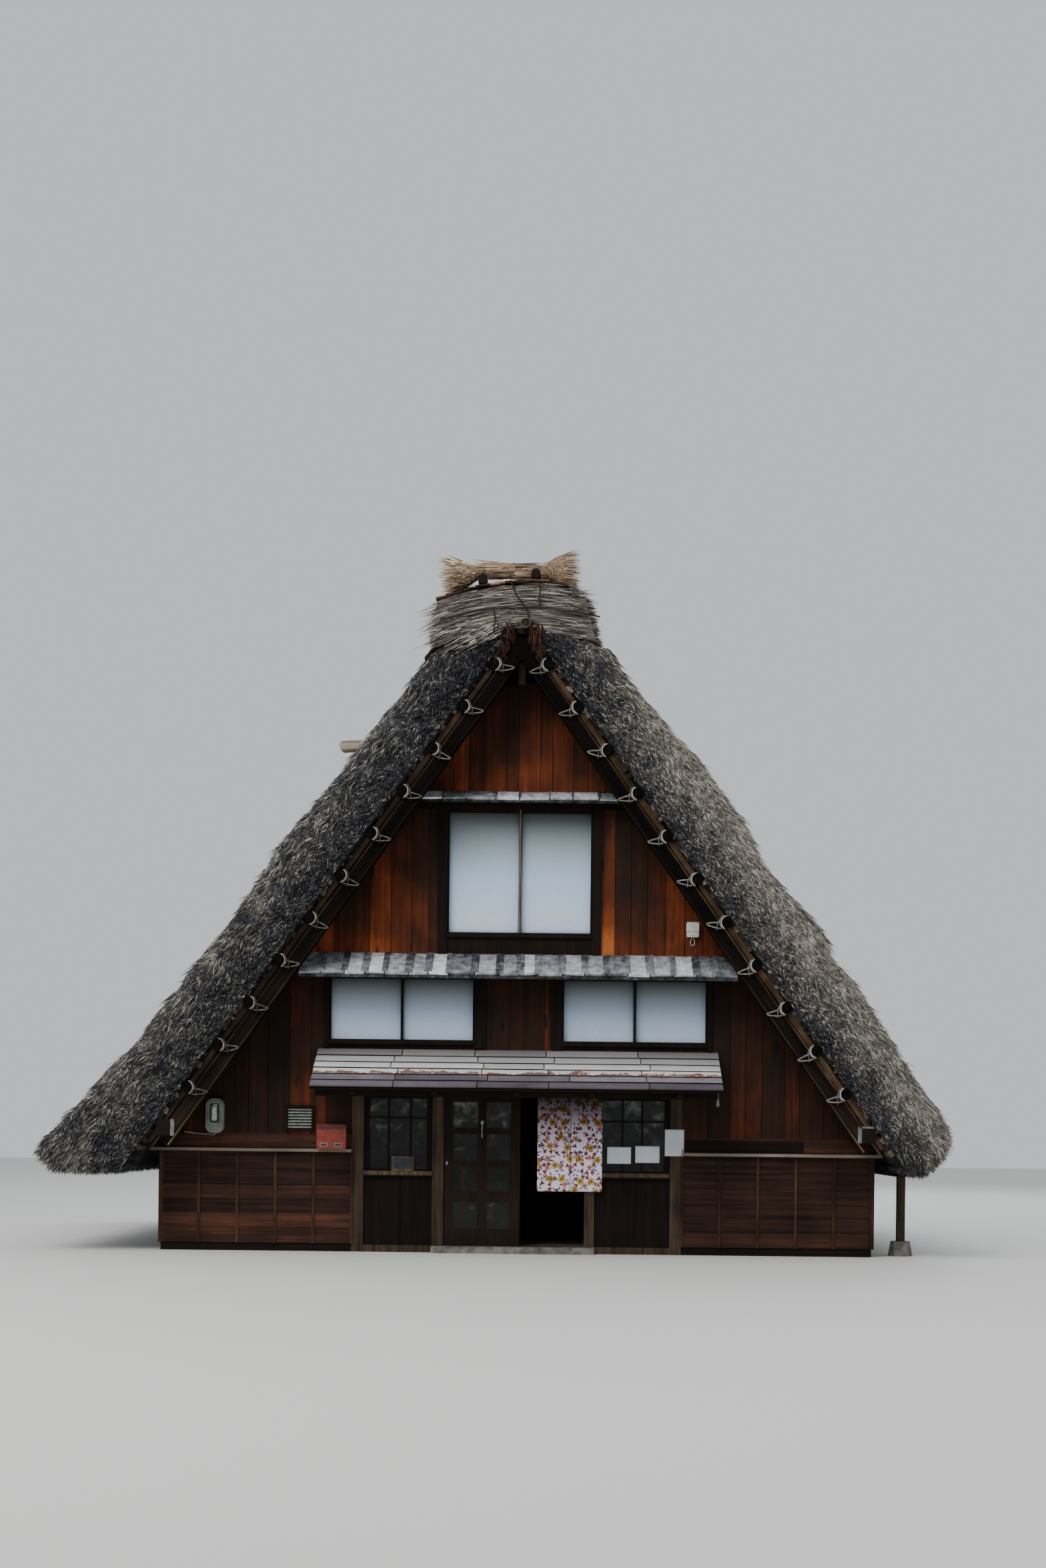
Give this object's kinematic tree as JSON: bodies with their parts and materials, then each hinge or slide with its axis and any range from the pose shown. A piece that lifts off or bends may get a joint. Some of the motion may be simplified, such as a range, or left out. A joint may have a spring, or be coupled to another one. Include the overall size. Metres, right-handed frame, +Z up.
{
  "type": "thatched farmhouse with a steep gabled roof",
  "caption": "Timber farmhouse under a steep thatched gable roof, with boarded gables, board pent roofs, a front canopy and sliding entrance doors.",
  "frame": {"origin": "on the ground, midway between the side walls, and midway between the canopy's edge and the back verge", "axes": "+X to the right along the front, +Y from the front gable to the back gable, +Z up"},
  "size_m": [11.54, 8.92, 8.825],
  "materials": {
    "thatch": "weathered reed thatch, dark at the cut verge and grey outside",
    "ridge": "weathered reeds laid across the ridge",
    "straw": "golden rice straw bundles, tied",
    "boards": "sun-browned cedar boards",
    "dark_boards": "dark aged boards",
    "timber": "dark planed timber",
    "log": "round logs with weathered ends",
    "door": "dark red-brown door wood",
    "grey_boards": "silver-grey weathered boards",
    "canopy_boards": "weathered roofing boards with peeling grey paint",
    "blinds": "plain white window blinds",
    "glass": "clear window glass",
    "stone": "rough grey stone",
    "earth": "hard beaten floor",
    "meter": "grey-green paint",
    "mailbox": "faded red paint",
    "white_plastic": "matt white",
    "vent_metal": "dull grey",
    "cloth": "pale printed cotton",
    "sign_wood": "bare dark weathered board"
  },
  "bodies": {
    "house": {"ground_sill": "timber", "ground_floor": "earth", "door_step": "stone", "front_wall_left": "dark_boards", "front_wall_right": "dark_boards", "wall_over_door": "dark_boards", "ledge_left": "grey_boards", "ledge_right": "grey_boards", "bay_frame": "timber", "left_bay_window": "timber", "right_bay_window": "timber", "left_bay_glass": "glass", "right_bay_glass": "glass", "front_gable_wall": "boards", "front_second_window_left": "timber", "front_second_window_right": "timber", "front_attic_window": "timber", "front_second_blinds": "blinds", "front_attic_blinds": "blinds", "back_gable_wall": "boards", "back_second_window_left": "timber", "back_second_window_right": "timber", "back_attic_window": "timber", "back_second_blinds": "blinds", "back_attic_blinds": "blinds", "back_wall": "dark_boards", "pent_roof_lower": "grey_boards", "pent_roof_upper": "grey_boards", "canopy_roof": "canopy_boards", "canopy_frame": "timber", "side_wall_left": "dark_boards", "side_wall_right": "dark_boards", "wall_plate_left": "timber", "wall_plate_right": "timber", "roof_frame_left": "log", "roof_frame_right": "log", "thatch_left": "thatch", "thatch_right": "thatch", "second_floor": "timber", "attic_floor": "timber", "ridge_pole": "log", "ridge_cover": "ridge", "ridge_bundles": "straw", "eave_frame_right": "timber", "eave_stone_1": "stone", "eave_stone_2": "stone", "eave_stone_3": "stone", "electric_meter": "meter", "wall_vent": "vent_metal", "mailbox": "mailbox", "white_box": "white_plastic", "sign_board": "sign_wood", "noren_rod": "timber", "noren": "cloth", "canopy_lamp": "white_plastic"},
    "outer_door_leaf": {"outer_door": "door", "outer_door_glass": "glass"},
    "inner_door_leaf": {"inner_door": "door", "inner_door_glass": "glass"}
  },
  "joints": [
    {"name": "outer_door_slide", "type": "slide", "parent": "house", "child": "outer_door_leaf", "axis": [1, 0, 0], "range_m": [0, 0.821]},
    {"name": "inner_door_slide", "type": "slide", "parent": "house", "child": "inner_door_leaf", "axis": [1, 0, 0], "range_m": [0, 0.821]}
  ]
}
